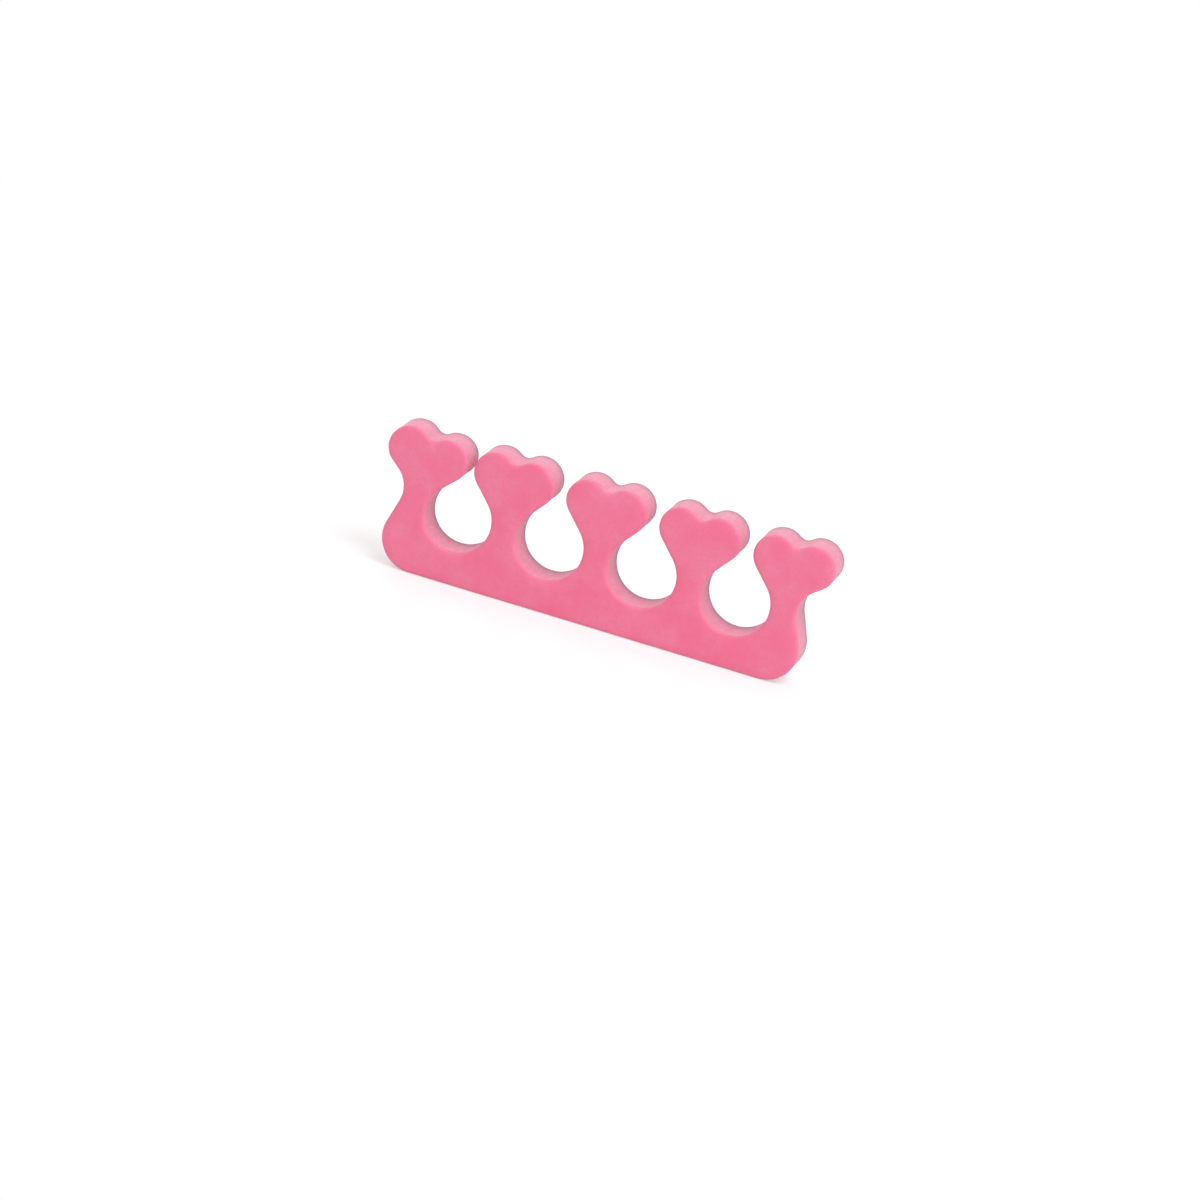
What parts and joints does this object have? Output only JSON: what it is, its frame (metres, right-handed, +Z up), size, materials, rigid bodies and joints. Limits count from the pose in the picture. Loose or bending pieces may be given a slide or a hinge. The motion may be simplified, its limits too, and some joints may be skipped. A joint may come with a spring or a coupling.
{
  "type": "toe separator",
  "caption": "Foam toe separator: a die-cut slab whose heart-tipped fingers stand in a row between rounded toe gaps.",
  "frame": {"origin": "under the middle of the slab, on the plane of the straight edge that it stands on", "axes": "+X along the row of fingers, with the leaning finger at -X; +Y through the slab, with the front face at -Y; +Z up the fingers"},
  "size_m": [0.0994, 0.008, 0.0313],
  "materials": {
    "foam": "matte"
  },
  "bodies": {
    "root": {"foam_slab": "foam"}
  },
  "joints": []
}
